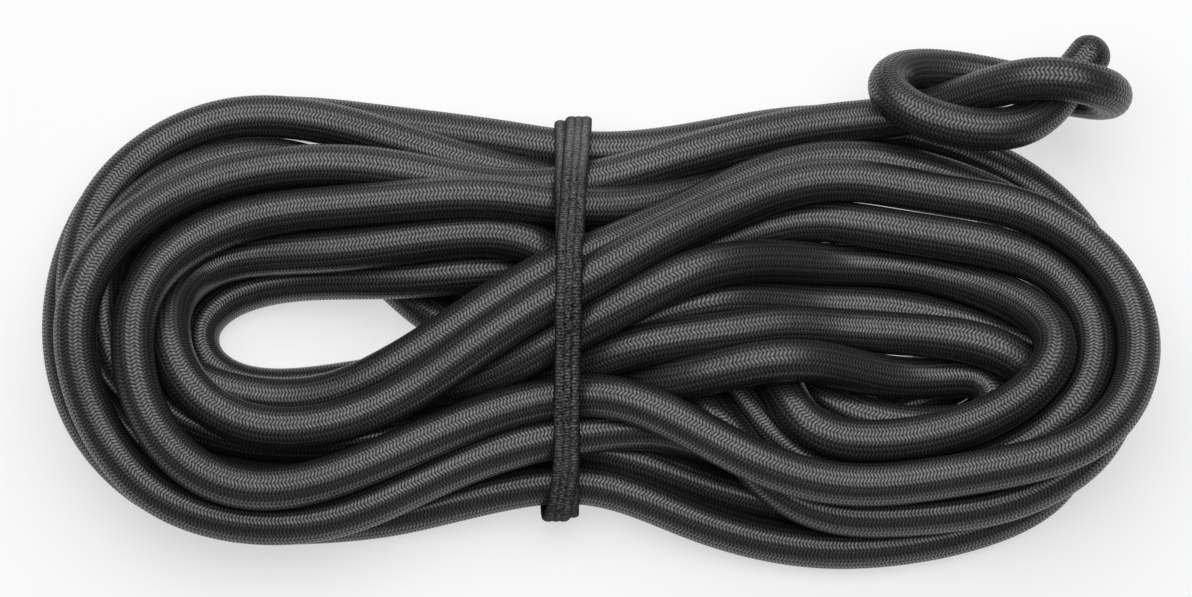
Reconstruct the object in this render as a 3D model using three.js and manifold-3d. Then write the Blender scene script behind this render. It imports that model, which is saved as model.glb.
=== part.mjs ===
// Bungee cord: a hank of round elastic cord, tied at the waist with a woven tape.
// X runs along the hank, Y across it and Z up. The hank lies on Z = 0.
import * as THREE from 'three';
import { mergeVertices } from 'three/addons/utils/BufferGeometryUtils.js';
import Module from 'manifold-3d';

// Cord sizes
const CORD_DIAMETER = 8;
const SHEATH_WALL = 1.2;
const CORE_CLEARANCE = 0.35;
const END_CLEARANCE = 0.3;
const SEAL_LENGTH = 2.6;
const SEAL_RIM = 0.6;
const SEAL_SIDES = 12;
const SEAL_STEPS = 4;
const CORD_SIDES = 6;

// How the strands lie
const STRAND_GAP = 1.5;
const REST_CUT = 0.1 * CORD_DIAMETER;
const LEFT_SHOULDER = -58;
const RIGHT_SHOULDER = 43;
const LOBE_STEPS = 8;
const STATION_STEPS = 40;
const WAIST_MARGIN = 3;
const WAIST_RAMP = 26;

// Tie sizes
const TAPE_WIDTH = 5.2;
const TAPE_THICKNESS = 0.9;
const TAPE_TURNS = 2;
const TAPE_SPREAD = 2.2;
const PLY_GAP = 0.4;
const TIE_CLEARANCE = 0.5;
const TIE_LIFT = 0.2;
const TIE_TRAVEL = 3;
const TIE_SLANT = 1.3;
const TIE_START = -24;
const TIE_STEP = 9;
const OUTLINE_SIDES = 16;

// How the wound cord settles: shares of a move made in each pass
const POINT_SPACING = 4;
const SETTLE_PASSES = 500;
const CONTACT_PASSES = 200;
const PAIR_PASSES = 8;
const PAIR_MARGIN = 4;
const LANE_HOLD = 0.08;
const LAYER_HOLD = 0.04;
const SINK = 0.06;
const STIFFNESS = 0.4;
const PUSH = 0.2;
const LAST_STIFFNESS = 0.25;
const LAST_PUSH = 0.3;

// How the settled cord is faceted
const RING_BOW = 0.72;
const RING_SPAN = 10;
const BOW_SHARE = 0.25;
const PROBE_SPACING = 2;
const MERGE_DISTANCE = 1e-4;
const END_RUN = Math.ceil(CORD_DIAMETER / POINT_SPACING);

// Finishes
const SHEATH_FINISH = { color: 0x1b1b1d, roughness: 0.6, metalness: 0 };
const SEAL_FINISH = { color: 0x1b1b1d, roughness: 0.45, metalness: 0 };
const CORE_FINISH = { color: 0x9a8f78, roughness: 0.8, metalness: 0 };
const TAPE_FINISH = { color: 0x242427, roughness: 0.85, metalness: 0 };

const CORD_RADIUS = CORD_DIAMETER / 2;
const STRAND_PITCH = CORD_DIAMETER + STRAND_GAP;
const SELF_RANGE = 2.2 * CORD_DIAMETER;
const LAYER_RISE = (Math.sqrt(3) / 2) * STRAND_PITCH;
const LOW_CENTRE = CORD_RADIUS - REST_CUT;
const PLY_PITCH = TAPE_THICKNESS + PLY_GAP;
const TIE_THICKNESS = TAPE_TURNS * TAPE_THICKNESS + (TAPE_TURNS - 1) * PLY_GAP;
const WAIST_CENTRE = CORD_RADIUS + TIE_CLEARANCE + TIE_THICKNESS + TIE_LIFT;
const TIE_SPREAD = (TAPE_TURNS - 1) * TAPE_SPREAD;
const WAIST_REACH = TAPE_WIDTH / 2 + TIE_SPREAD / 2 + TIE_SLANT + TIE_TRAVEL;

// The cord in the order it was wound. Each row is one way through the waist and the lobe after it.
// via: [x, y, layer] on the way to the lobe; from, to: [y, layer] at the lobe's shoulders;
// end: [x, layer] at the lobe's far end. Layers count up from the lowest strands.
const WINDING = [
  {
    via: [
      [89, -5.5, 1.1], [80, 0, 1.3], [68, 3, 1.4], [43, 4, 1.5],
      [22, 0.5, 1.7], [2, -5, 1.3], [-16, 7, 0.4], [-34, 21, 0.4],
    ],
    from: [35.5, 1], end: [-87.5, 2], to: [-22, 0.9],
  },
  { via: [[0, -20, 0.6]], from: [-16, 0], end: [88, 0], to: [9, 1] },
  { via: [[28, 14, 0.6], [16, 23, 0.4], [0, 34.5, 0.6]], from: [41, 1], end: [-94, 1.1], to: [-29, 1] },
  { via: [[0, -27, 0.6]], from: [-32.5, 0], end: [102, 0], to: [44, 0] },
  { via: [[0, 39.5, 0]], from: [45, 0], end: [-97.2, 0], to: [-37.5, 0] },
  { via: [[0, -30.5, 0]], from: [-41, 0], end: [96, 0.5], to: [-3, 1.5] },
  { via: [[22, -6, 1.8], [0, -13, 1.3], [-20, -18, 0.8]], from: [-28, 0], end: [-86.5, 0], to: [30, 0] },
  {
    via: [[-40, 17, 0], [-25, 5, 0], [-8, -8, 0.6], [12, -14, 1.3]],
    from: [-12, 1.3], end: [89, 0.5], to: [-21, 0.8],
  },
  {
    via: [[34, -16, 0.6], [26, -6, 0.3], [14, 1, 0], [-3, 10, 0.7], [-22, 10.5, 1], [-40, 10.5, 0.8]],
    from: [10.5, 0.2], end: [-76.2, 0], to: [-13.5, 0],
  },
  { via: [[-30, -13, 0.6], [0, -4, 1.9], [20, 8.5, 2.4]], from: [18, 2.4], end: [99.5, 2], to: [-30, 0.9] },
  {
    via: [[35, -24, 0.8], [28, -7, 0.9], [14, 6, 0.8], [-3, 17, 0.9], [-22, 18, 0.9]],
    from: [21, 0.3], end: [-82.5, 1], to: [-22, 0.2],
  },
  { via: [[-31, -17, 1], [0, -10, 1.9]], from: [11, 1.5], end: [96, 1.9], to: [-26, 1.8] },
  {
    via: [[36, -22, 1.5], [27, -3, 0.8], [13, 10, 0], [-3, 22, 0.7], [-22, 24, 0.9]],
    from: [26, 0.9], end: [-90, 1.2], to: [-18, 0.9],
  },
  { via: [[-36, -16, 2], [0, 8, 2.5]], from: [31.5, 2], end: [103, 1.1], to: [-37.5, 1] },
  {
    via: [[34, -27, 1.1], [27, -14, 1.1], [15, -2, 1], [-2, 14.5, 1.5], [-22, 16.5, 1.8]],
    from: [16, 1.2], end: [-78.5, 1.9], to: [-23.5, 1.9],
  },
  { via: [[-34, -19, 2.2], [0, -1, 2.7]], from: [23, 2.5], end: [105.5, 2.4], to: [-33.5, 1.8] },
  { via: [[0, -23, 1.6]], from: [-35, 2], end: [-83, 2.9], to: [19, 2.3] },
  { via: [[0, 21.5, 2.1]], from: [35, 0.8], end: [95, 0], to: [-24.2, 0] },
  { via: [[0, -27, 1.4]], from: [-36.8, 1.1], end: [-92, 2.6], to: [28, 2] },
];

// Where the cord starts inside the hank, and how it leaves for the knot.
const HIDDEN_START = [94, -14, 0.9];
const LAST_THROUGH = [0, 28.6, 2];

// The free end, tied in a loose overhand knot.
const KNOT_ROUTE = [
  [43, 39.5, 13], [53, 41.5, 12], [60, 43, 10.5], [68, 43, 12.5], [75.5, 43.5, 17], [82, 44, 22],
  [90, 43.2, 26.5], [97, 42.8, 27.5], [103, 43, 23], [103.2, 44.5, 17], [97, 46.5, 12], [88, 48.5, 10.5],
  [78, 50, 11], [68, 50.5, 13.5], [60, 49, 17], [57, 44.8, 20], [60, 39.8, 23], [68, 36.6, 24.5],
  [77, 35.8, 24.5], [85, 36.2, 23.5], [90.5, 38, 21], [94, 40.5, 19.5], [95.7, 44.5, 19.5], [98.5, 50, 19],
  [100, 53.3, 18.5],
];

function layerHeight(layer) {
  return LOW_CENTRE + layer * LAYER_RISE;
}

// A place on the route, its height given by its layer.
function station([x, y, layer]) {
  return new THREE.Vector3(x, y, layerHeight(layer));
}

// One lobe: a half ellipse from the shoulder where the cord enters to the one where it leaves.
function lobeStations({ from, end, to }) {
  const shoulder = end[0] < 0 ? LEFT_SHOULDER : RIGHT_SHOULDER;
  const stations = [];
  for (let i = 0; i <= LOBE_STEPS; i += 1) {
    const turn = (Math.PI * i) / LOBE_STEPS;
    const side = Math.cos(turn);
    const nearest = side > 0 ? from : to;
    const x = shoulder + (end[0] - shoulder) * Math.sin(turn);
    const y = (from[0] + to[0]) / 2 + ((from[0] - to[0]) / 2) * side;
    stations.push(station([x, y, THREE.MathUtils.lerp(end[1], nearest[1], Math.abs(side))]));
  }
  return stations;
}

// The whole route: waist crossings and lobes in winding order, then the knot.
function routeStations() {
  const stations = [station(HIDDEN_START)];
  for (const row of WINDING) {
    stations.push(...row.via.map(station), ...lobeStations(row));
  }
  stations.push(station(LAST_THROUGH));
  const knotStart = stations.length;
  stations.push(...KNOT_ROUTE.map(([x, y, z]) => new THREE.Vector3(x, y, z)));
  return { stations, knotStart };
}

// Points along a smooth curve through the stations, evenly spaced.
function evenPoints({ stations, knotStart }) {
  const curve = new THREE.CatmullRomCurve3(stations, false, 'centripetal');
  curve.arcLengthDivisions = (stations.length - 1) * STATION_STEPS;
  const lengths = curve.getLengths();
  const count = Math.round(lengths.at(-1) / POINT_SPACING);
  const points = curve.getSpacedPoints(count);
  const knotShare = lengths[knotStart * STATION_STEPS] / lengths.at(-1);
  return { points, knotIndex: Math.round(knotShare * count) };
}

// How low a strand's centre can lie: on the ground, or on the tape near the waist.
function floorHeight(x) {
  const reach = WAIST_REACH + WAIST_MARGIN;
  const blend = THREE.MathUtils.smoothstep(Math.abs(x), reach, reach + WAIST_RAMP);
  return THREE.MathUtils.lerp(WAIST_CENTRE, LOW_CENTRE, blend);
}

// Pairs of points, not neighbours along the cord, that are near enough to touch soon.
function nearPairs(points, range) {
  const skip = Math.ceil(SELF_RANGE / POINT_SPACING);
  const pairs = [];
  for (let i = 0; i < points.length; i += 1) {
    for (let j = i + skip; j < points.length; j += 1) {
      if (points[i].distanceToSquared(points[j]) < range * range) {
        pairs.push([i, j]);
      }
    }
  }
  return pairs;
}

// Push touching strands apart, half each. All pushes are summed before any point moves.
function separate(points, pairs, share) {
  const moves = points.map(() => new THREE.Vector3());
  const between = new THREE.Vector3();
  for (const [first, second] of pairs) {
    between.subVectors(points[second], points[first]);
    const distance = between.length();
    if (distance < STRAND_PITCH) {
      between.multiplyScalar((share * (STRAND_PITCH - distance)) / distance);
      moves[first].sub(between);
      moves[second].add(between);
    }
  }
  points.forEach((p, i) => p.add(moves[i]));
}

// Bending stiffness: each point moves towards the smooth line through its neighbours, and each end
// towards a straight run.
function straighten(points, share) {
  const last = points.map((p) => p.clone());
  for (let i = 2; i < points.length - 2; i += 1) {
    for (const axis of ['x', 'y', 'z']) {
      const near = last[i - 1][axis] + last[i + 1][axis];
      const far = last[i - 2][axis] + last[i + 2][axis];
      points[i][axis] += share * ((4 * near - far) / 6 - last[i][axis]);
    }
  }
  const end = points.length - 1;
  for (const [tip, beside, after] of [[0, 1, 2], [end, end - 1, end - 2]]) {
    const middle = last[tip].clone().lerp(last[after], 0.5);
    points[beside].lerp(middle, share);
    points[tip].lerp(last[beside].clone().multiplyScalar(2).sub(last[after]), share);
  }
}

function standOnFloor(points) {
  for (const p of points) {
    p.z = Math.max(p.z, floorHeight(p.x));
  }
}

// Let the wound cord settle: it sinks, bends stiffly, keeps near its lane and rests on what is below.
function settle(points, knotIndex) {
  const lanes = points.map((p) => p.clone());
  let pairs = [];
  for (let pass = 0; pass < SETTLE_PASSES + CONTACT_PASSES; pass += 1) {
    const fade = Math.max(0, 1 - pass / SETTLE_PASSES);
    points.forEach((p, i) => {
      p.x += LANE_HOLD * fade * (lanes[i].x - p.x);
      p.y += LANE_HOLD * fade * (lanes[i].y - p.y);
      p.z += LAYER_HOLD * fade * (lanes[i].z - p.z);
      p.z -= i < knotIndex ? SINK * fade : 0;
    });
    if (pass % PAIR_PASSES === 0) {
      pairs = nearPairs(points, STRAND_PITCH + PAIR_MARGIN);
    }
    straighten(points, fade > 0 ? STIFFNESS : LAST_STIFFNESS);
    straighten(points, fade > 0 ? STIFFNESS : 0);
    separate(points, pairs, fade > 0 ? PUSH : LAST_PUSH);
    standOnFloor(points);
    separate(points, pairs, fade > 0 ? PUSH : LAST_PUSH);
  }
  standOnFloor(points);
  return points;
}

const route = evenPoints(routeStations());
const cordPoints = settle(route.points, route.knotIndex);

// Where the cord bows furthest from a straight step between two of its points, and how far.
function bow(points, first, last) {
  const line = new THREE.Line3(points[first], points[last]);
  const closest = new THREE.Vector3();
  const most = new THREE.Vector3();
  for (let i = first + 1; i < last; i += 1) {
    line.closestPointToPoint(points[i], true, closest);
    const out = closest.subVectors(points[i], closest);
    if (out.lengthSq() > most.lengthSq()) {
      most.copy(out);
    }
  }
  return most;
}

// The points that get a ring: few where the cord runs straight, many where it turns.
function ringIndices(points, first, last) {
  const kept = [first, first + END_RUN];
  while (kept.at(-1) < last - END_RUN) {
    const from = kept.at(-1);
    let next = from + 1;
    const isFlat = () => bow(points, from, next + 1).length() < RING_BOW;
    while (next < last - END_RUN && next - from < RING_SPAN && isFlat()) {
      next += 1;
    }
    kept.push(next);
  }
  kept.push(last);
  return kept;
}

// Ring centres, moved out at bends by a share of the bow, so that the steps lie evenly about the cord.
function evenedCentres(points, kept, fixed) {
  return kept.map((index, k) => {
    const centre = points[index].clone();
    if (!fixed.includes(index)) {
      centre.addScaledVector(bow(points, kept[k - 1], index), BOW_SHARE);
      centre.addScaledVector(bow(points, index, kept[k + 1]), BOW_SHARE);
    }
    return centre;
  });
}

// The least distance between two stretches of the faceted cord, less the cord itself.
function leastGap(centres) {
  const steps = [];
  let length = 0;
  for (let i = 0; i + 1 < centres.length; i += 1) {
    const line = new THREE.Line3(centres[i], centres[i + 1]);
    steps.push({ line, start: length, end: length + line.distance() });
    length += line.distance();
  }
  const probe = new THREE.Vector3();
  const closest = new THREE.Vector3();
  let least = Infinity;
  for (const { line, start, end } of steps) {
    const parts = Math.ceil((end - start) / PROBE_SPACING);
    for (let k = 0; k <= parts; k += 1) {
      line.at(k / parts, probe);
      const place = start + ((end - start) * k) / parts;
      for (const other of steps) {
        const apart = Math.max(other.start - place, place - other.end);
        if (apart > SELF_RANGE) {
          other.line.closestPointToPoint(probe, true, closest);
          least = Math.min(least, closest.distanceTo(probe));
        }
      }
    }
  }
  return least - CORD_DIAMETER;
}

// A centre and three directions for each ring, carried along the cord without twist.
function ringFrames(centres) {
  let lift = new THREE.Vector3(0, 0, 1);
  return centres.map((centre, i) => {
    const before = centres[Math.max(i - 1, 0)];
    const after = centres[Math.min(i + 1, centres.length - 1)];
    const along = new THREE.Vector3().subVectors(after, before).normalize();
    const across = new THREE.Vector3().crossVectors(lift, along).normalize();
    lift = new THREE.Vector3().crossVectors(along, across);
    return { centre, along, across, lift };
  });
}

// One ring of corners, the first one straight down turned by the given share of a side.
function ringCorners({ centre, across, lift }, radius, turned) {
  const corners = [];
  for (let i = 0; i < CORD_SIDES; i += 1) {
    const angle = (2 * Math.PI * (i + turned)) / CORD_SIDES - Math.PI / 2;
    const corner = centre.clone();
    corner.addScaledVector(across, radius * Math.cos(angle));
    corner.addScaledVector(lift, radius * Math.sin(angle));
    corners.push(corner);
  }
  return corners;
}

function solidFrom(corners, triangles) {
  const geometry = new THREE.BufferGeometry();
  geometry.setFromPoints(corners);
  geometry.setIndex(triangles);
  return geometry;
}

// Triangles that join rings of equal size into a closed wall, one ring after the other.
function wallTriangles(ringCount, size, start, inward) {
  const triangles = [];
  for (let ring = 0; ring + 1 < ringCount; ring += 1) {
    for (let i = 0; i < size; i += 1) {
      const a = start + ring * size + i;
      const b = start + ring * size + ((i + 1) % size);
      const faces = [[a, b, b + size], [a, b + size, a + size]];
      faces.forEach((face) => triangles.push(...(inward ? face.reverse() : face)));
    }
  }
  return triangles;
}

// A solid cord with flat ends.
function cordSolid(frames, radius) {
  const corners = frames.flatMap((frame) => ringCorners(frame, radius, 0.5));
  const triangles = wallTriangles(frames.length, CORD_SIDES, 0, false);
  const last = corners.length - CORD_SIDES;
  for (let i = 1; i + 1 < CORD_SIDES; i += 1) {
    triangles.push(0, i + 1, i, last, last + i, last + i + 1);
  }
  return solidFrom(corners, triangles);
}

// A hollow cord, open at both ends.
function cordSleeve(frames, radius, bore) {
  const outer = frames.flatMap((frame) => ringCorners(frame, radius, 0));
  const inner = frames.flatMap((frame) => ringCorners(frame, bore, 0.5));
  const size = CORD_SIDES;
  const hollow = outer.length;
  const triangles = [
    ...wallTriangles(frames.length, size, 0, false),
    ...wallTriangles(frames.length, size, hollow, true),
  ];
  const last = hollow - size;
  for (let i = 0; i < size; i += 1) {
    const next = (i + 1) % size;
    const rim = hollow + i;
    const nextRim = hollow + next;
    triangles.push(i, rim, next, next, rim, nextRim);
    triangles.push(last + i, last + next, last + rim, last + next, last + nextRim, last + rim);
  }
  return solidFrom([...outer, ...inner], triangles);
}

// The melted plug on a cut end: a short dome that faces away from the cord.
function sealSolid() {
  const profile = [new THREE.Vector2(0, 0), new THREE.Vector2(CORD_RADIUS, 0)];
  for (let i = 0; i <= SEAL_STEPS; i += 1) {
    const turn = (Math.PI / 2) * (i / SEAL_STEPS);
    const out = CORD_RADIUS * Math.cos(turn);
    profile.push(new THREE.Vector2(out, SEAL_RIM + (SEAL_LENGTH - SEAL_RIM) * Math.sin(turn)));
  }
  profile[profile.length - 1].x = 0;
  return new THREE.LatheGeometry(profile, SEAL_SIDES);
}

const wasm = await Module();
wasm.setup();

function toManifold(geometry) {
  const bare = geometry.clone();
  bare.deleteAttribute('normal');
  bare.deleteAttribute('uv');
  const merged = mergeVertices(bare, MERGE_DISTANCE);
  const vertProperties = new Float32Array(merged.attributes.position.array);
  const triVerts = new Uint32Array(merged.index.array);
  return new wasm.Manifold(new wasm.Mesh({ numProp: 3, vertProperties, triVerts }));
}

function fromManifold(solid) {
  const { vertProperties, triVerts } = solid.getMesh();
  const geometry = new THREE.BufferGeometry();
  geometry.setAttribute('position', new THREE.BufferAttribute(vertProperties, 3));
  geometry.setIndex(new THREE.BufferAttribute(triVerts, 1));
  return geometry;
}

// The lowest strands are pressed flat where they rest.
function flattenBelow(geometry) {
  const depth = CORD_DIAMETER;
  const box = new THREE.Box3().setFromBufferAttribute(geometry.attributes.position);
  const size = box.getSize(new THREE.Vector3());
  const middle = box.getCenter(new THREE.Vector3());
  const slab = new THREE.BoxGeometry(2 * size.x, 2 * size.y, depth);
  slab.translate(middle.x, middle.y, -depth / 2);
  return fromManifold(toManifold(geometry).subtract(toManifold(slab)));
}

// The outline that the tie goes round: the tightest loop about every strand near the waist.
function waistOutline() {
  const radius = CORD_RADIUS + TIE_CLEARANCE;
  const dots = [];
  for (const p of cordPoints) {
    if (Math.abs(p.x) < WAIST_REACH + POINT_SPACING) {
      for (let i = 0; i < OUTLINE_SIDES; i += 1) {
        const angle = (2 * Math.PI * i) / OUTLINE_SIDES;
        dots.push(new THREE.Vector2(p.y + radius * Math.cos(angle), p.z + radius * Math.sin(angle)));
      }
    }
  }
  return convexLoop(dots);
}

// The convex loop about a set of dots, anticlockwise.
function convexLoop(dots) {
  const sorted = [...dots].sort((a, b) => a.x - b.x || a.y - b.y);
  const chain = (list) => {
    const hull = [];
    for (const dot of list) {
      while (hull.length > 1 && turnOf(hull.at(-2), hull.at(-1), dot) <= 0) {
        hull.pop();
      }
      hull.push(dot);
    }
    hull.pop();
    return hull;
  };
  return [...chain(sorted), ...chain(sorted.reverse())];
}

// Positive where the way from a to b to c turns left.
function turnOf(a, b, c) {
  return (b.x - a.x) * (c.y - a.y) - (b.y - a.y) * (c.x - a.x);
}

// The loop with its long sides split, starting under the hank.
function splitLoop(loop) {
  const dots = loop.flatMap((dot, i) => {
    const next = loop[(i + 1) % loop.length];
    const parts = Math.ceil(dot.distanceTo(next) / TIE_STEP);
    return Array.from({ length: parts }, (_, k) => dot.clone().lerp(next, k / parts));
  });
  const lowest = Math.min(...dots.map((dot) => dot.y));
  const below = dots.filter((dot) => dot.y < lowest + TIE_CLEARANCE / 2);
  below.sort((a, b) => Math.abs(a.x - TIE_START) - Math.abs(b.x - TIE_START));
  const start = dots.indexOf(below[0]);
  return [...dots.slice(start), ...dots.slice(0, start)];
}

// A loop's corner moved out so that the sides beside it move out by the given distance.
function movedOut(loop, i, distance) {
  const corner = loop[i];
  const before = loop[(i + loop.length - 1) % loop.length];
  const after = loop[(i + 1) % loop.length];
  const sideOut = (a, b) => new THREE.Vector2(b.y - a.y, a.x - b.x).normalize();
  const first = sideOut(before, corner);
  const out = first.clone().add(sideOut(corner, after)).normalize();
  return corner.clone().addScaledVector(out, distance / out.dot(first));
}

// The tape: a flat band wound round the waist, each turn lying on the one before. The turns part
// towards the back, and the whole tie leans a little.
function tapeSolid(loop) {
  const steps = TAPE_TURNS * loop.length;
  const front = Math.min(...loop.map((dot) => dot.x));
  const back = Math.max(...loop.map((dot) => dot.x));
  const corners = [];
  for (let k = 0; k < steps; k += 1) {
    const i = k % loop.length;
    const turn = Math.floor(k / loop.length);
    const inner = movedOut(loop, i, turn * PLY_PITCH);
    const outer = movedOut(loop, i, turn * PLY_PITCH + TAPE_THICKNESS);
    const backShare = (loop[i].x - front) / (back - front);
    const apart = turn * TAPE_SPREAD - TIE_SPREAD / 2;
    const middle = apart * backShare - TIE_SLANT * (1 - backShare);
    const left = middle - TAPE_WIDTH / 2;
    const right = middle + TAPE_WIDTH / 2;
    corners.push(new THREE.Vector3(left, inner.x, inner.y), new THREE.Vector3(left, outer.x, outer.y));
    corners.push(new THREE.Vector3(right, outer.x, outer.y), new THREE.Vector3(right, inner.x, inner.y));
  }
  const last = corners.length - 4;
  const ends = [0, 1, 2, 0, 2, 3, last, last + 2, last + 1, last, last + 3, last + 2];
  return solidFrom(corners, [...wallTriangles(steps, 4, 0, true), ...ends]);
}

const knotIndex = route.knotIndex;
const lastIndex = cordPoints.length - 1;
const hankRings = ringIndices(cordPoints, 0, knotIndex);
const knotRings = ringIndices(cordPoints, knotIndex, lastIndex);
const allRings = [...hankRings, ...knotRings.slice(1)];
const ringCentres = evenedCentres(cordPoints, allRings, [0, knotIndex, lastIndex]);
const frames = ringFrames(ringCentres);
console.log(`least gap between strands ${leastGap(ringCentres).toFixed(2)} mm`);
const hankFrames = frames.slice(0, hankRings.length);
const knotFrames = frames.slice(hankRings.length - 1);
const knotFirst = knotFrames[0];
knotFrames[0] = {
  ...knotFirst,
  centre: knotFirst.centre.clone().addScaledVector(knotFirst.along, END_CLEARANCE),
};

const group = new THREE.Group();

function addPiece(name, geometry, finish) {
  const mesh = new THREE.Mesh(geometry, new THREE.MeshStandardMaterial(finish));
  mesh.name = name;
  group.add(mesh);
}

// A seal stands off the cord's end and faces the way the cord would have gone on.
function addSeal(name, { centre, along }, direction) {
  const facing = along.clone().multiplyScalar(direction);
  const place = centre.clone().addScaledVector(facing, END_CLEARANCE);
  const turn = new THREE.Quaternion().setFromUnitVectors(new THREE.Vector3(0, 1, 0), facing);
  const seal = sealSolid().applyQuaternion(turn).translate(place.x, place.y, place.z);
  addPiece(name, flattenBelow(seal), SEAL_FINISH);
}

const boreRadius = CORD_RADIUS - SHEATH_WALL;
const coreRadius = boreRadius - CORE_CLEARANCE;
const hankSleeve = flattenBelow(cordSleeve(hankFrames, CORD_RADIUS, boreRadius));
addPiece('hank_sheath', hankSleeve, SHEATH_FINISH);
addPiece('knot_sheath', cordSleeve(knotFrames, CORD_RADIUS, boreRadius), SHEATH_FINISH);
addPiece('hank_core', cordSolid(hankFrames, coreRadius), CORE_FINISH);
addPiece('knot_core', cordSolid(knotFrames, coreRadius), CORE_FINISH);
addSeal('inner_end_seal', hankFrames[0], -1);
addSeal('free_end_seal', knotFrames.at(-1), 1);
addPiece('tie_tape', tapeSolid(splitLoop(waistOutline())), TAPE_FINISH);

// The origin is under the middle of the whole hank.
const middle = new THREE.Box3().setFromObject(group).getCenter(new THREE.Vector3());
group.position.set(-middle.x, -middle.y, 0);

export default group;
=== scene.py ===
import math
import bmesh
import bpy
import numpy as np
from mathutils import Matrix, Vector, geometry, noise


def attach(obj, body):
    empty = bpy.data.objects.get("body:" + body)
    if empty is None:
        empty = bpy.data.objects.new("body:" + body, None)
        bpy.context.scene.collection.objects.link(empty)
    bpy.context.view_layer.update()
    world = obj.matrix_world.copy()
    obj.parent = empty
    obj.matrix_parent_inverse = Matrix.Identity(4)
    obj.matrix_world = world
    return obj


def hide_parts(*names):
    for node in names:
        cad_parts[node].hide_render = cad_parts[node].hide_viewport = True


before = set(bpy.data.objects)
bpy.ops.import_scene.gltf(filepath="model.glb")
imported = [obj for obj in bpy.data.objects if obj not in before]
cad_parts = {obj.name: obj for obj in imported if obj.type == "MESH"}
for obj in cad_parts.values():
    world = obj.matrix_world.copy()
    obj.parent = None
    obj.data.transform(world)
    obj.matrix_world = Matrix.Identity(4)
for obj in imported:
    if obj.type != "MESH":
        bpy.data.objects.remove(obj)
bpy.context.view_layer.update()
mm = 0.001

# the photograph's camera: almost overhead, from the near side, with a long lens
view = {
    "imageSize": (1192, 597),      # pixels
    "waistPixel": (573, 330),      # where the middle of the tie's waist falls
    "pixelSize": 0.1905,           # mm per pixel at the waist
    "waistHeight": 8,              # mm above the floor
    "elevation": 72,               # degrees
    "distance": 1100,              # mm
    "sensor": 36,                  # mm
    "clipStart": 0.05,             # m
}

# the whole hank is moved so that the origin is under its middle, mm
hankShift = np.array([-4.950, -4.341, 0.0])


def placeCamera():
    tilt = math.radians(view["elevation"])
    upWay = np.array([0, math.sin(tilt), math.cos(tilt)])
    backWay = np.array([0, -math.cos(tilt), math.sin(tilt)])
    wide, high = view["imageSize"]
    right = (wide / 2 - view["waistPixel"][0]) * view["pixelSize"]
    up = (view["waistPixel"][1] - high / 2) * view["pixelSize"]
    aim = hankShift + [right, 0, view["waistHeight"]] + up * upWay
    data = bpy.data.cameras.new("photoCamera")
    data.sensor_fit = "HORIZONTAL"
    data.sensor_width = view["sensor"]
    data.lens = view["sensor"] * view["distance"] / (wide * view["pixelSize"])
    data.clip_start = view["clipStart"]
    camera = bpy.data.objects.new("photoCamera", data)
    camera.location = Vector(aim + view["distance"] * backWay) * mm
    camera.rotation_euler = (math.radians(90) - tilt, 0, 0)
    bpy.context.collection.objects.link(camera)
    bpy.context.scene.camera = camera


placeCamera()
print("camera placed")

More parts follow.
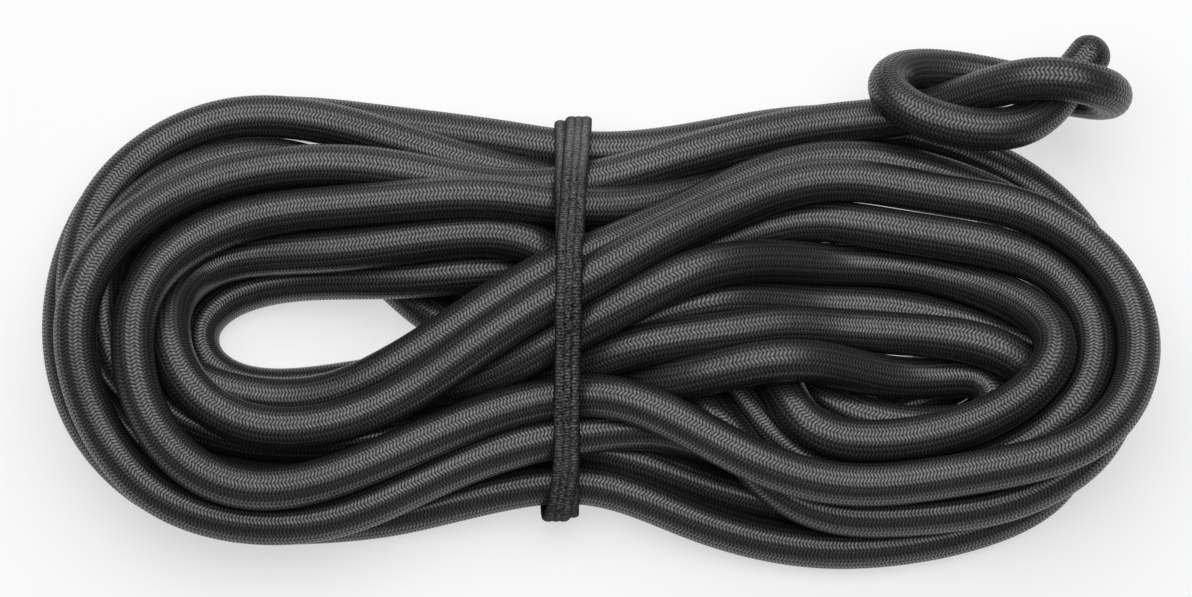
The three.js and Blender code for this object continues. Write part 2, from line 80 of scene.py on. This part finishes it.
# how the cord was wound, in the order it was wound, in mm; layers count up from the lowest strands
# via: x, y and layer on the way to a lobe
# start, stop: y and layer at the lobe's two shoulders
# end: x and layer at its far end
winding = [
    {"via": [(89, -5.5, 1.1), (80, 0, 1.3), (68, 3, 1.4), (43, 4, 1.5), (22, 0.5, 1.7), (2, -5, 1.3),
             (-16, 7, 0.4), (-34, 21, 0.4)],
     "start": (35.5, 1), "end": (-87.5, 2), "stop": (-22, 0.9)},
    {"via": [(0, -20, 0.6)], "start": (-16, 0), "end": (88, 0), "stop": (9, 1)},
    {"via": [(28, 14, 0.6), (16, 23, 0.4), (0, 34.5, 0.6)],
     "start": (41, 1), "end": (-94, 1.1), "stop": (-29, 1)},
    {"via": [(0, -27, 0.6)], "start": (-32.5, 0), "end": (102, 0), "stop": (44, 0)},
    {"via": [(0, 39.5, 0)], "start": (45, 0), "end": (-97.2, 0), "stop": (-37.5, 0)},
    {"via": [(0, -30.5, 0)], "start": (-41, 0), "end": (96, 0.5), "stop": (-3, 1.5)},
    {"via": [(22, -6, 1.8), (0, -13, 1.3), (-20, -18, 0.8)],
     "start": (-28, 0), "end": (-86.5, 0), "stop": (30, 0)},
    {"via": [(-40, 17, 0), (-25, 5, 0), (-8, -8, 0.6), (12, -14, 1.3)],
     "start": (-12, 1.3), "end": (89, 0.5), "stop": (-21, 0.8)},
    {"via": [(34, -16, 0.6), (26, -6, 0.3), (14, 1, 0), (-3, 10, 0.7), (-22, 10.5, 1), (-40, 10.5, 0.8)],
     "start": (10.5, 0.2), "end": (-76.2, 0), "stop": (-13.5, 0)},
    {"via": [(-30, -13, 0.6), (0, -4, 1.9), (20, 8.5, 2.4)],
     "start": (18, 2.4), "end": (99.5, 2), "stop": (-30, 0.9)},
    {"via": [(35, -24, 0.8), (28, -7, 0.9), (14, 6, 0.8), (-3, 17, 0.9), (-22, 18, 0.9)],
     "start": (21, 0.3), "end": (-82.5, 1), "stop": (-22, 0.2)},
    {"via": [(-31, -17, 1), (0, -10, 1.9)], "start": (11, 1.5), "end": (96, 1.9), "stop": (-26, 1.8)},
    {"via": [(36, -22, 1.5), (27, -3, 0.8), (13, 10, 0), (-3, 22, 0.7), (-22, 24, 0.9)],
     "start": (26, 0.9), "end": (-90, 1.2), "stop": (-18, 0.9)},
    {"via": [(-36, -16, 2), (0, 8, 2.5)], "start": (31.5, 2), "end": (103, 1.1), "stop": (-37.5, 1)},
    {"via": [(34, -27, 1.1), (27, -14, 1.1), (15, -2, 1), (-2, 14.5, 1.5), (-22, 16.5, 1.8)],
     "start": (16, 1.2), "end": (-78.5, 1.9), "stop": (-23.5, 1.9)},
    {"via": [(-34, -19, 2.2), (0, -1, 2.7)], "start": (23, 2.5), "end": (105.5, 2.4), "stop": (-33.5, 1.8)},
    {"via": [(0, -23, 1.6)], "start": (-35, 2), "end": (-83, 2.9), "stop": (19, 2.3)},
    {"via": [(0, 21.5, 2.1)], "start": (35, 0.8), "end": (95, 0), "stop": (-24.2, 0)},
    {"via": [(0, -27, 1.4)], "start": (-36.8, 1.1), "end": (-92, 2.6), "stop": (28, 2)},
]
route = {
    "hiddenStart": (94, -14, 0.9),    # x, y, layer
    "lastThrough": (0, 28.6, 2),
    "knot": [                       # x, y, z of the free end, in a loose overhand knot
        (43, 39.5, 13), (53, 41.5, 12), (60, 43, 10.5), (68, 43, 12.5), (75.5, 43.5, 17),
        (82, 44, 22), (90, 43.2, 26.5), (97, 42.8, 27.5), (103, 43, 23), (103.2, 44.5, 17),
        (97, 46.5, 12), (88, 48.5, 10.5), (78, 50, 11), (68, 50.5, 13.5), (60, 49, 17),
        (57, 44.8, 20), (60, 39.8, 23), (68, 36.6, 24.5), (77, 35.8, 24.5), (85, 36.2, 23.5),
        (90.5, 38, 21), (94, 40.5, 19.5), (95.7, 44.5, 19.5), (98.5, 50, 19), (100, 53.3, 18.5),
    ],
    "leftShoulder": -58,            # mm, the x where the lobes begin
    "rightShoulder": 43,
    "lobeSteps": 8,                 # in each half turn
    "spanSteps": 40,                # from point to point, to measure the length
}
cord = {
    "diameter": 8,          # mm
    "length": 4.46,         # m
    "pitch": 8.35,          # mm between the middles of strands that touch
    "restCut": 0.8,         # mm the lowest strands are pressed flat by
    "waistCentre": 6.9,     # mm, the lowest strand over the tie
    "waistReach": 11.0,     # mm each side of the tie's middle
    "waistRamp": 26,        # mm that the strands take to come down again
    "drawIn": 0.16,         # share that the tie draws the waist in by
    "drawBack": 1.5,        # mm that it pulls the waist towards the back
    "drawReach": 34,        # mm each side
    "pointSpacing": 4,      # mm
    "settlePasses": 500,
    "contactPasses": 200,
    "pairEvery": 8,         # passes from one search for near strands to the next
    "pairMargin": 4,        # mm past touching that still counts as near
    "alongApart": 2.2,      # diameters along the cord before it can meet itself
    "laneHold": 0.08,       # share of the way back to the wound place in a pass
    "layerHold": 0.04,
    "sink": 0.06,           # mm in a pass
    "stiffness": (0.4, 0.25),   # while settling, and in the last passes
    "push": (0.2, 0.3),
    "visibleRadius": 4.1,   # mm
    "sides": 20,
    "ringsPerPoint": 3,
    "coreRadius": 2.45,
    "coreSides": 8,
    "meltedRings": 2,       # at each end
}


def lowestCentre():
    return cord["diameter"] / 2 - cord["restCut"]


def station(x, y, layer):
    # a strand lies in the groove between two of the layer below
    return (x, y, lowestCentre() + layer * math.sqrt(3) / 2 * cord["pitch"])


def lobe(row):
    shoulder = route["leftShoulder"] if row["end"][0] < 0 else route["rightShoulder"]
    (startY, startLayer), (endX, endLayer), (stopY, stopLayer) = row["start"], row["end"], row["stop"]
    for i in range(route["lobeSteps"] + 1):
        turn = math.pi * i / route["lobeSteps"]
        side = math.cos(turn)
        nearLayer = startLayer if side > 0 else stopLayer
        layer = endLayer + (nearLayer - endLayer) * abs(side)
        x = shoulder + (endX - shoulder) * math.sin(turn)
        yield station(x, (startY + stopY) / 2 + (startY - stopY) / 2 * side, layer)


def splineAt(points, places):
    # a smooth curve through the points, read at places counted in points
    padded = np.vstack([2 * points[0] - points[1], points, 2 * points[-1] - points[-2]])
    span = np.minimum(places.astype(int), len(points) - 2)
    t = (places - span)[:, None]
    a, b, c, d = (padded[span + k] for k in range(4))
    ab, bc, cd = (np.sqrt(np.linalg.norm(q - p, axis=1))[:, None] for p, q in ((a, b), (b, c), (c, d)))
    out = ((b - a) / ab - (c - a) / (ab + bc) + (c - b) / bc) * bc
    into = ((c - b) / bc - (d - b) / (bc + cd) + (d - c) / cd) * bc
    return b + out * t + (3 * (c - b) - 2 * out - into) * t**2 + (2 * (b - c) + out + into) * t**3


def evenly(points, count, stepsPerSpan):
    # places along the curve that are the same length apart
    places = np.linspace(0, len(points) - 1, (len(points) - 1) * stepsPerSpan + 1)
    steps = np.linalg.norm(np.diff(splineAt(points, places), axis=0), axis=1)
    lengths = np.concatenate([[0], np.cumsum(steps)])
    if count is None:
        count = round(lengths[-1] / cord["pointSpacing"])
    wanted = np.interp(np.linspace(0, lengths[-1], count + 1), lengths, places)
    return splineAt(points, wanted), lengths


def eased(values, low, high):
    share = np.clip((values - low) / (high - low), 0, 1)
    return share * share * (3 - 2 * share)


def floorHeight(x):
    down = eased(np.abs(x), cord["waistReach"], cord["waistReach"] + cord["waistRamp"])
    return cord["waistCentre"] + (lowestCentre() - cord["waistCentre"]) * down


def liftToFloor(points):
    points[:, 2] = np.maximum(points[:, 2], floorHeight(points[:, 0]))


def nearPairs(points):
    apart = math.ceil(cord["alongApart"] * cord["diameter"] / cord["pointSpacing"])
    reach = cord["pitch"] + cord["pairMargin"]
    squares = (points**2).sum(1)
    distances = squares[:, None] + squares[None, :] - 2 * points @ points.T
    return np.nonzero(np.triu(distances < reach**2, apart))


def separate(points, pairs, share):
    # strands that are too near push each other away
    first, second = pairs
    between = points[second] - points[first]
    distance = np.linalg.norm(between, axis=1)
    reach = share * np.maximum(cord["pitch"] - distance, 0) / distance
    for axis in range(3):
        push = reach * between[:, axis]
        points[:, axis] += np.bincount(second, push, len(points)) - np.bincount(first, push, len(points))


def straighten(points, share):
    # each point goes part of the way to the smooth curve through its neighbours
    smooth = np.empty_like(points)
    smooth[2:-2] = (4 * (points[1:-3] + points[3:-1]) - points[:-4] - points[4:]) / 6
    for tip, beside, after in ((0, 1, 2), (-1, -2, -3)):
        smooth[beside] = (points[tip] + points[after]) / 2
        smooth[tip] = 2 * points[beside] - points[after]
    points += share * (smooth - points)


def settledCord():
    stations = [station(*route["hiddenStart"])]
    for row in winding:
        stations += [station(*place) for place in row["via"]] + list(lobe(row))
    stations.append(station(*route["lastThrough"]))
    knotStart = len(stations)
    stations = np.array(stations + route["knot"], float)
    points, lengths = evenly(stations, None, route["spanSteps"])
    knotIndex = round(lengths[knotStart * route["spanSteps"]] / lengths[-1] * (len(points) - 1))
    lanes = points.copy()
    for step in range(cord["settlePasses"] + cord["contactPasses"]):
        fade = max(0, 1 - step / cord["settlePasses"])
        stage = 0 if fade > 0 else 1
        points[:, :2] += cord["laneHold"] * fade * (lanes - points)[:, :2]
        points[:, 2] += cord["layerHold"] * fade * (lanes - points)[:, 2]
        points[:knotIndex, 2] -= cord["sink"] * fade
        if step % cord["pairEvery"] == 0:
            pairs = nearPairs(points)
        for _ in range(2 - stage):
            straighten(points, cord["stiffness"][stage])
        separate(points, pairs, cord["push"][stage])
        liftToFloor(points)
        separate(points, pairs, cord["push"][stage])
    liftToFloor(points)
    # the tie squeezes the soft strands together
    pull = np.exp(-((points[:, 0] / cord["drawReach"]) ** 2))
    points[:, 1] += pull * (cord["drawBack"] - cord["drawIn"] * points[:, 1])
    return points


def tubeAlong(name, path, radii, sides):
    # a round line made into a mesh; its UV map runs along the line and round it
    line = bpy.data.curves.new(name + "Line", "CURVE")
    line.dimensions = "3D"
    line.twist_mode = "MINIMUM"
    line.bevel_depth = mm
    line.bevel_resolution = sides // 2 - 2         # gives that many sides
    line.use_fill_caps = True
    spline = line.splines.new("POLY")
    spline.points.add(len(path) - 1)
    spline.points.foreach_set("co", np.hstack([path * mm, np.ones((len(path), 1))]).ravel())
    spline.points.foreach_set("radius", np.broadcast_to(radii, len(path)).astype(np.float32))
    lineObject = bpy.data.objects.new(name + "Line", line)
    bpy.context.collection.objects.link(lineObject)
    ready = lineObject.evaluated_get(bpy.context.evaluated_depsgraph_get())
    mesh = bpy.data.meshes.new_from_object(ready, preserve_all_data_layers=True)
    bpy.data.objects.remove(lineObject)
    places = np.zeros(len(mesh.vertices) * 3)
    mesh.vertices.foreach_get("co", places)
    places[2::3] = np.maximum(places[2::3], 0)     # pressed flat on the floor
    mesh.vertices.foreach_set("co", places)
    mesh.polygons.foreach_set("use_smooth", [True] * len(mesh.polygons))
    piece = bpy.data.objects.new(name, mesh)
    bpy.context.collection.objects.link(piece)
    return piece


settled = settledCord()
count = (len(settled) - 1) * cord["ringsPerPoint"]
cordPath = evenly(settled, count, 2 * cord["ringsPerPoint"])[0] + hankShift
cordPath = cordPath[cord["meltedRings"]:-cord["meltedRings"]]
pathLength = np.linalg.norm(np.diff(cordPath, axis=0), axis=1).sum()
sheath = tubeAlong("cord_sheath", cordPath, cord["visibleRadius"], cord["sides"])
core = tubeAlong("cord_core", cordPath, cord["coreRadius"], cord["coreSides"])
print("cord settled:", len(cordPath), "rings,", round(pathLength), "mm,", len(sheath.data.polygons), "faces")

# the melted ends of the cord: rounded over, with the braid still showing
seal = {
    "standOff": 0.1,        # mm past the sheath's end
    "length": 3.9,          # mm
    "steps": 10,
    "lastTurn": 86,         # degrees
}


def makeSeal(name, tip, before):
    way = (tip - before) / np.linalg.norm(tip - before)
    turns = np.radians(np.linspace(0, seal["lastTurn"], seal["steps"]))
    path = tip + np.outer(seal["standOff"] + seal["length"] * np.sin(turns), way)
    return tubeAlong(name, path, cord["visibleRadius"] * np.cos(turns), cord["sides"])


innerSeal = makeSeal("inner_seal", cordPath[0], cordPath[2])
freeSeal = makeSeal("free_seal", cordPath[-1], cordPath[-3])
print("cord ends sealed")

# the woven tape that ties the waist, two turns one over the other
tape = {
    "width": 4.1,           # mm
    "thickness": 0.6,
    "turnPitch": 0.75,      # mm from one turn to the next
    "hug": 0.35,            # mm between cord and tape
    "reach": 8.0,           # mm of the cord each side that the tape goes over
    "turns": 2,
    "crossOver": (0.9, 1.1),    # turns, where the second turn moves over beside the first
    "spread": 2.3,          # mm that the turns part by at the back
    "slant": 1.3,           # mm that the tie leans by
    "tailFrom": 1.84,       # turns, where the end starts to drift
    "tailDrift": 3.2,       # mm
    "start": -24,           # mm, under the hank
    "lowBand": 1,           # mm from the lowest point that counts as under it
    "step": 1.5,            # mm
    "bands": 3,             # rounded, with a groove between them
    "grooveDepth": 0.3,     # mm
    "wander": 0.22,         # mm that the edges stray
    "wanderLength": 6,      # mm
    "edgeSeeds": (0.3, 5.7),    # left and right edge
    "acrossSteps": 24,
    "sides": 20,
}


def waistLoop():
    # the outline that a band drawn round the waist takes, as y and z
    near = settled[np.abs(settled[:, 0]) < tape["reach"]]
    turns = np.linspace(0, 2 * math.pi, tape["sides"], endpoint=False)
    circle = (cord["visibleRadius"] + tape["hug"]) * np.stack([np.cos(turns), np.sin(turns)], 1)
    dots = (near[:, None, 1:] + circle[None]).reshape(-1, 2)
    loop = dots[geometry.convex_hull_2d([tuple(dot) for dot in dots])]
    ends = np.roll(loop, -1, axis=0)
    split = []
    for a, b in zip(loop, ends):
        parts = max(1, math.ceil(np.linalg.norm(b - a) / tape["step"]))
        split += [a + (b - a) * k / parts for k in range(parts)]
    split = np.array(split)
    low = np.nonzero(split[:, 1] < split[:, 1].min() + tape["lowBand"])[0]
    first = low[np.argmin(np.abs(split[low, 0] - tape["start"]))]
    return np.roll(split, -first, axis=0)


def orderedRow(lastRow, edges):
    # the new row's vertices in the order of the row they were pulled out of
    fresh = {vert for edge in edges for vert in edge.verts}
    return [next(edge.other_vert(vert) for edge in vert.link_edges if edge.other_vert(vert) in fresh)
            for vert in lastRow]


def makeTape(name):
    loop = waistLoop()
    around = np.roll(loop, -1, axis=0) - np.roll(loop, 1, axis=0)
    outWays = np.stack([around[:, 1], -around[:, 0]], 1)
    outWays /= np.linalg.norm(outWays, axis=1)[:, None]
    size = len(loop)
    steps = np.arange(tape["turns"] * size + 1)
    turns = steps / size
    index = steps % size
    middle = loop[index] + outWays[index] * (tape["turnPitch"] * turns)[:, None]
    back = (loop[index, 0] - loop[:, 0].min()) / np.ptp(loop[:, 0])
    parting = (eased(turns, *tape["crossOver"]) - 0.5) * np.clip(2 * back - 1, 0, 1)
    sideways = tape["spread"] * parting - tape["slant"] * (1 - back)
    sideways -= tape["tailDrift"] * eased(turns, tape["tailFrom"], tape["turns"])
    lengths = np.linalg.norm(np.diff(middle, axis=0), axis=1)
    alongTape = np.concatenate([[0], np.cumsum(lengths)])
    stray = [[noise.noise((place / tape["wanderLength"], seed, 0)) for place in alongTape]
             for seed in tape["edgeSeeds"]]
    leftStray, rightStray = tape["wander"] * np.array(stray)
    body = bmesh.new()
    uvLayer = body.loops.layers.uv.new("UVMap")
    rows = []
    for step in range(tape["acrossSteps"] + 1):
        share = step / tape["acrossSteps"]
        rise = tape["grooveDepth"] * (math.sqrt(abs(math.sin(math.pi * tape["bands"] * share))) - 1)
        across = sideways + (share - 0.5) * tape["width"] + leftStray * (1 - share) + rightStray * share
        places = (np.column_stack([across, middle + rise * outWays[index]]) + hankShift) * mm
        if step == 0:
            row = [body.verts.new(place) for place in places]
            edges = [body.edges.new(pair) for pair in zip(row, row[1:])]
        else:
            made = bmesh.ops.extrude_edge_only(body, edges=edges)["geom"]
            edges = [item for item in made if isinstance(item, bmesh.types.BMEdge) and
                     all(vert not in rows[-1] for vert in item.verts)]
            row = orderedRow(rows[-1], edges)
            for vert, place in zip(row, places):
                vert.co = place
        rows.append(row)
    spot = {vert: (step / tape["acrossSteps"] * tape["width"], alongTape[k])
            for step, row in enumerate(rows) for k, vert in enumerate(row)}
    for face in body.faces:
        for corner in face.loops:
            corner[uvLayer].uv = spot[corner.vert]
    bmesh.ops.recalc_face_normals(body, faces=body.faces)
    mesh = bpy.data.meshes.new(name)
    body.to_mesh(mesh)
    body.free()
    mesh.polygons.foreach_set("use_smooth", [True] * len(mesh.polygons))
    piece = bpy.data.objects.new(name, mesh)
    bpy.context.collection.objects.link(piece)
    thick = piece.modifiers.new("thickness", "SOLIDIFY")
    thick.thickness = tape["thickness"] * mm
    thick.offset = 1
    return piece


tie = makeTape("waist_tape")
print("tape wound:", len(tie.data.polygons), "faces")


# shader helpers
class Nodes:
    def __init__(self, tree):
        self.tree = tree

    def add(self, kind, inputs=None, **settings):
        node = self.tree.nodes.new(kind)
        for key, value in settings.items():
            setattr(node, key, value)
        for key, value in (inputs or {}).items():
            if isinstance(value, bpy.types.NodeSocket):
                self.tree.links.new(value, node.inputs[key])
            else:
                node.inputs[key].default_value = value
        return node

    def math(self, operation, a, b=0.0, c=0.0):
        return self.add("ShaderNodeMath", {0: a, 1: b, 2: c}, operation=operation).outputs[0]

    def wave(self, phase):
        return self.math("ABSOLUTE", self.math("SINE", self.math("MULTIPLY", phase, math.pi)))

    def blend(self, factor, low, high):
        node = self.add("ShaderNodeMix", {0: factor, 6: low, 7: high}, data_type="RGBA")
        return node.outputs[2]


def newMaterial(name):
    material = bpy.data.materials.new(name)
    material.use_nodes = True
    nodes = Nodes(material.node_tree)
    return material, nodes, material.node_tree.nodes["Principled BSDF"]


fibres = {
    "detail": 3.0,
    "broadScale": 45.0,     # per metre, patches of wear
    "broadDetail": 2.0,
    "broadShare": 0.6,
    "middle": 0.8,          # of the two patterns together
}


def fibreGroup():
    # uneven fibres and wear: a shade and a fine height that change over the surface
    tree = bpy.data.node_groups.new("fibreGrain", "ShaderNodeTree")
    for label in ("Scale", "Contrast"):
        tree.interface.new_socket(label, in_out="INPUT", socket_type="NodeSocketFloat")
    for label in ("Shade", "Height"):
        tree.interface.new_socket(label, in_out="OUTPUT", socket_type="NodeSocketFloat")
    nodes = Nodes(tree)
    given = nodes.add("NodeGroupInput")
    place = nodes.add("ShaderNodeTexCoord").outputs["Object"]
    fine = nodes.add("ShaderNodeTexNoise", {"Vector": place, "Scale": given.outputs["Scale"],
                                            "Detail": fibres["detail"]})
    broad = nodes.add("ShaderNodeTexNoise", {"Vector": place, "Scale": fibres["broadScale"],
                                             "Detail": fibres["broadDetail"]})
    patches = nodes.math("MULTIPLY", broad.outputs["Fac"], fibres["broadShare"])
    centred = nodes.math("SUBTRACT", nodes.math("ADD", fine.outputs["Fac"], patches), fibres["middle"])
    shade = nodes.math("MULTIPLY_ADD", centred, given.outputs["Contrast"], 0.5)
    nodes.add("NodeGroupOutput", {"Shade": shade, "Height": fine.outputs["Fac"]})
    return tree


fibreGrain = fibreGroup()


def grainOf(nodes, look):
    grain = nodes.add("ShaderNodeGroup", node_tree=fibreGrain)
    grain.inputs["Scale"].default_value = look["grainScale"]
    grain.inputs["Contrast"].default_value = look["grainContrast"]
    return grain.outputs["Shade"], grain.outputs["Height"]


def uvOf(nodes):
    spot = nodes.add("ShaderNodeUVMap", uv_map="UVMap").outputs[0]
    return nodes.add("ShaderNodeSeparateXYZ", {0: spot}).outputs[:2]


braid = {
    "ribPitch": 0.69,       # mm along the cord
    "columns": 24,          # round the cord, in zigzag
    "slant": 0.72,          # ribs that a zigzag crosses in one column
    "bump": 0.13,           # mm
    "bulge": 0.6,           # of a column, against a rib
    "crown": 0.4,           # share of a rib's height that falls off at a column's edges
    "grainScale": 1500.0,   # per metre
    "grainContrast": 1.2,
    "grainBump": 0.3,       # against a rib
    "stray": 0.25,          # ribs that a fibre strays by
    "paintedShadePower": 1.4,
    "shadeLift": 0.5,
    "rough": 0.7,           # in the grooves
    "crestSmooth": 0.32,    # less on the ribs
    "gloss": 0.3,
    "ior": 1.5,
    "coatIor": 1.85,
    "coatRough": 0.3,
}
# base colours of the braid: from dark to light they carry painted shade in the grooves between ribs and
# painted highlight on the rib crests, over the cord's own near-black
sheathLook = {
    "dark": (0.001, 0.001, 0.001, 1),
    "light": (0.016, 0.016, 0.0168, 1),
    "coat": 1.0,
}
meltedLook = {
    "dark": (0.003, 0.003, 0.003, 1),
    "light": (0.024, 0.024, 0.0245, 1),
    "coat": 0.6,
}


def braidMaterial(name, length, look):
    material, nodes, shader = newMaterial(name)
    alongShare, aroundShare = uvOf(nodes)
    grainShade, grainHeight = grainOf(nodes, braid)
    along = nodes.math("MULTIPLY", alongShare, float(length / braid["ribPitch"]))
    around = nodes.math("MULTIPLY", aroundShare, float(braid["columns"]))
    zigzag = nodes.math("PINGPONG", around, 1.0)
    phase = nodes.math("MULTIPLY_ADD", zigzag, braid["slant"], along)
    rib = nodes.wave(nodes.math("MULTIPLY_ADD", grainShade, braid["stray"], phase))
    # 0 at a column's edges and 1 along its middle
    column = nodes.math("ABSOLUTE", nodes.math("SUBTRACT", nodes.math("FRACT", around), 0.5))
    crown = nodes.math("SUBTRACT", 1.0, nodes.math("POWER", nodes.math("MULTIPLY", column, 2.0), 2.0))
    fullness = nodes.math("MULTIPLY_ADD", crown, braid["crown"], 1 - braid["crown"])
    height = nodes.math("MULTIPLY", rib, fullness)
    relief = nodes.math("MULTIPLY_ADD", grainHeight, braid["grainBump"], height)
    relief = nodes.math("MULTIPLY_ADD", crown, braid["bulge"], relief)
    bump = nodes.add("ShaderNodeBump", {"Height": relief, "Strength": 1.0, "Distance": braid["bump"] * mm})
    # painted light and shade: the colour is lighter on the rib crests and darker in the grooves between
    # them, times the fibres' own uneven tone
    lit = nodes.math("POWER", height, braid["paintedShadePower"])
    shade = nodes.math("MULTIPLY", lit, nodes.math("ADD", grainShade, braid["shadeLift"]))
    rough = nodes.math("MULTIPLY_ADD", height, -braid["crestSmooth"], braid["rough"])
    shine = nodes.math("MINIMUM", nodes.math("MULTIPLY", shade, look["coat"]), 1.0)
    nodes.tree.links.new(nodes.blend(shade, look["dark"], look["light"]), shader.inputs["Base Color"])
    nodes.tree.links.new(rough, shader.inputs["Roughness"])
    nodes.tree.links.new(shine, shader.inputs["Coat Weight"])
    nodes.tree.links.new(bump.outputs[0], shader.inputs["Normal"])
    shader.inputs["Specular IOR Level"].default_value = braid["gloss"]
    shader.inputs["IOR"].default_value = braid["ior"]
    shader.inputs["Coat IOR"].default_value = braid["coatIor"]
    shader.inputs["Coat Roughness"].default_value = braid["coatRough"]
    return material


weave = {
    # dark is the painted shade in the grooves between the bands and between the cross threads
    "dark": (0.002, 0.002, 0.0021, 1),
    "light": (0.235, 0.235, 0.24, 1),
    "crossPitch": 0.6,      # mm
    "stagger": 0.37,        # of a pitch, from band to band
    "crossDepth": 0.6,      # share of the height that the cross threads take
    "ridgePower": 0.6,      # under 1, the bands are fuller
    "bump": 0.22,           # mm
    "bumpStrength": 0.9,
    "grainScale": 2000.0,   # per metre
    "grainContrast": 2.2,
    "grainBump": 0.8,       # against a thread
    "stray": 0.5,           # threads that a fibre strays by
    "paintedShadePower": 1.8,
    "rough": 0.75,
    "roughVary": 0.1,
    "gloss": 0.2,
}


def tapeMaterial():
    material, nodes, shader = newMaterial("wovenTape")
    across, along = uvOf(nodes)
    grainShade, grainHeight = grainOf(nodes, weave)
    band = nodes.math("MULTIPLY", across, tape["bands"] / tape["width"])
    stagger = nodes.math("MULTIPLY", nodes.math("FLOOR", band), weave["stagger"])
    cross = nodes.math("MULTIPLY_ADD", along, 1 / weave["crossPitch"], stagger)
    thread = nodes.wave(nodes.math("MULTIPLY_ADD", grainShade, weave["stray"], cross))
    ridge = nodes.math("POWER", nodes.wave(band), weave["ridgePower"])
    fullness = nodes.math("MULTIPLY_ADD", thread, weave["crossDepth"], 1 - weave["crossDepth"])
    height = nodes.math("MULTIPLY", fullness, ridge)
    relief = nodes.math("MULTIPLY_ADD", grainHeight, weave["grainBump"], height)
    bump = nodes.add("ShaderNodeBump", {"Height": relief, "Strength": weave["bumpStrength"],
                                        "Distance": weave["bump"] * mm})
    # painted shade: the colour is darker in the grooves between the bands and between the cross threads,
    # times the fibres' own uneven tone
    shade = nodes.math("MULTIPLY", nodes.math("POWER", height, weave["paintedShadePower"]), grainShade)
    rough = nodes.math("MULTIPLY_ADD", grainShade, weave["roughVary"], weave["rough"])
    nodes.tree.links.new(nodes.blend(shade, weave["dark"], weave["light"]), shader.inputs["Base Color"])
    nodes.tree.links.new(rough, shader.inputs["Roughness"])
    nodes.tree.links.new(bump.outputs[0], shader.inputs["Normal"])
    shader.inputs["Specular IOR Level"].default_value = weave["gloss"]
    return material


rubber = {
    "dark": (0.30, 0.27, 0.20, 1),
    "light": (0.42, 0.38, 0.29, 1),
    "grainScale": 900.0,    # per metre
    "grainContrast": 0.8,
    "rough": 0.7,
    "roughVary": 0.1,
}


def coreMaterial():
    material, nodes, shader = newMaterial("rubberCore")
    grainShade = grainOf(nodes, rubber)[0]
    rough = nodes.math("MULTIPLY_ADD", grainShade, rubber["roughVary"], rubber["rough"])
    colour = nodes.blend(grainShade, rubber["dark"], rubber["light"])
    nodes.tree.links.new(colour, shader.inputs["Base Color"])
    nodes.tree.links.new(rough, shader.inputs["Roughness"])
    return material


def dress(piece, material, body, slotName, *nodeNames):
    piece.data.materials.clear()
    piece.data.materials.append(material)
    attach(piece, body)
    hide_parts(*nodeNames)


sealFinish = braidMaterial("meltedEnd", seal["length"] * math.pi / 2, meltedLook)
sheathFinish = braidMaterial("braidedSheath", pathLength, sheathLook)
dress(sheath, sheathFinish, "hank", "sheath", "hank_sheath", "knot_sheath")
dress(core, coreMaterial(), "hank", "core", "hank_core", "knot_core")
dress(innerSeal, sealFinish, "hank", "seal", "inner_end_seal")
dress(freeSeal, sealFinish, "hank", "seal", "free_end_seal")
dress(tie, tapeMaterial(), "tie", "tape", "tie_tape")
print("materials on")

# pale floor and soft studio light
studio = {
    "floorSize": 6,          # m
    "floorColour": (0.86, 0.86, 0.86, 1),
    "floorRough": 0.9,
    "floorGlow": 0.58,       # share of plain white that the camera sees
    "worldLight": 0.12,
    "lamps": [               # name, place m, aim m, size m, watts
        ("overhead", (0.0, 0.16, 0.80), (0, 0, 0), 1.2, 10.5),
        ("backRim", (0.05, 0.75, 0.45), (0, 0, 0), 0.6, 0.8),
    ],
}


def makeStudio():
    bpy.context.scene.view_settings.view_transform = "Standard"
    bpy.ops.mesh.primitive_plane_add(size=studio["floorSize"])
    floor = bpy.context.object
    floor.name = "floor"
    material, nodes, shader = newMaterial("paleFloor")
    shader.inputs["Base Color"].default_value = studio["floorColour"]
    shader.inputs["Roughness"].default_value = studio["floorRough"]
    shader.inputs["Specular IOR Level"].default_value = 0.0
    glow = nodes.add("ShaderNodeEmission", {"Color": (1, 1, 1, 1), "Strength": 1.0})
    path = nodes.add("ShaderNodeLightPath")
    seen = nodes.math("MAXIMUM", path.outputs["Is Camera Ray"], path.outputs["Is Glossy Ray"])
    seen = nodes.math("MAXIMUM", seen, path.outputs["Is Transmission Ray"])
    share = nodes.math("MULTIPLY", seen, studio["floorGlow"])
    mixed = nodes.add("ShaderNodeMixShader", {0: share, 1: shader.outputs[0], 2: glow.outputs[0]})
    nodes.tree.links.new(mixed.outputs[0], nodes.tree.nodes["Material Output"].inputs["Surface"])
    floor.data.materials.append(material)
    world = bpy.data.worlds.new("studio")
    world.use_nodes = True
    bpy.context.scene.world = world
    sky = world.node_tree.nodes["Background"]
    sky.inputs["Strength"].default_value = studio["worldLight"]
    sky.inputs["Color"].default_value = (1, 1, 1, 1)
    for name, place, aim, size, watts in studio["lamps"]:
        data = bpy.data.lights.new(name, "AREA")
        data.size = size
        data.energy = watts
        lamp = bpy.data.objects.new(name, data)
        lamp.location = place
        lamp.rotation_euler = (Vector(aim) - Vector(place)).to_track_quat("-Z", "Y").to_euler()
        bpy.context.collection.objects.link(lamp)


makeStudio()
print("studio lit")
